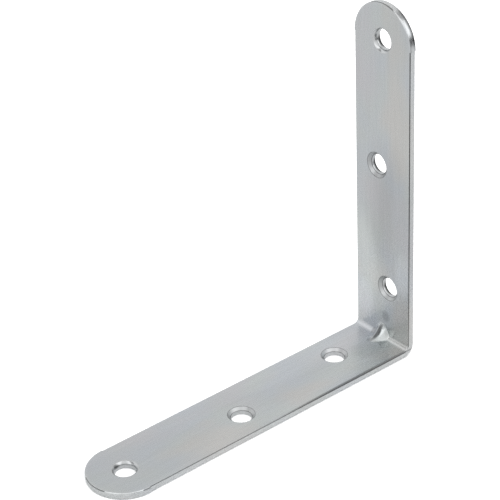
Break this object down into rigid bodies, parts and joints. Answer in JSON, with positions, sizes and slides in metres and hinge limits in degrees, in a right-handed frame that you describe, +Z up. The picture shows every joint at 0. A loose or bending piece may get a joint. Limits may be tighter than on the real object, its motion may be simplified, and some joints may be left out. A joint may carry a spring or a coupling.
{
  "type": "corner brace bracket",
  "caption": "L-shaped corner brace folded from one steel strip, with round ends, a pressed dart in the bend and countersunk screw holes.",
  "frame": {"origin": "the heel: the corner where the two outer mounting faces would meet, on the middle of the strip's width", "axes": "+X along the foot to its round end, +Y across the strip, +Z up along the upright to its round end"},
  "size_m": [0.1, 0.0206, 0.1],
  "materials": {
    "zinc": "satin"
  },
  "bodies": {
    "root": {"bracket": "zinc"}
  },
  "joints": []
}
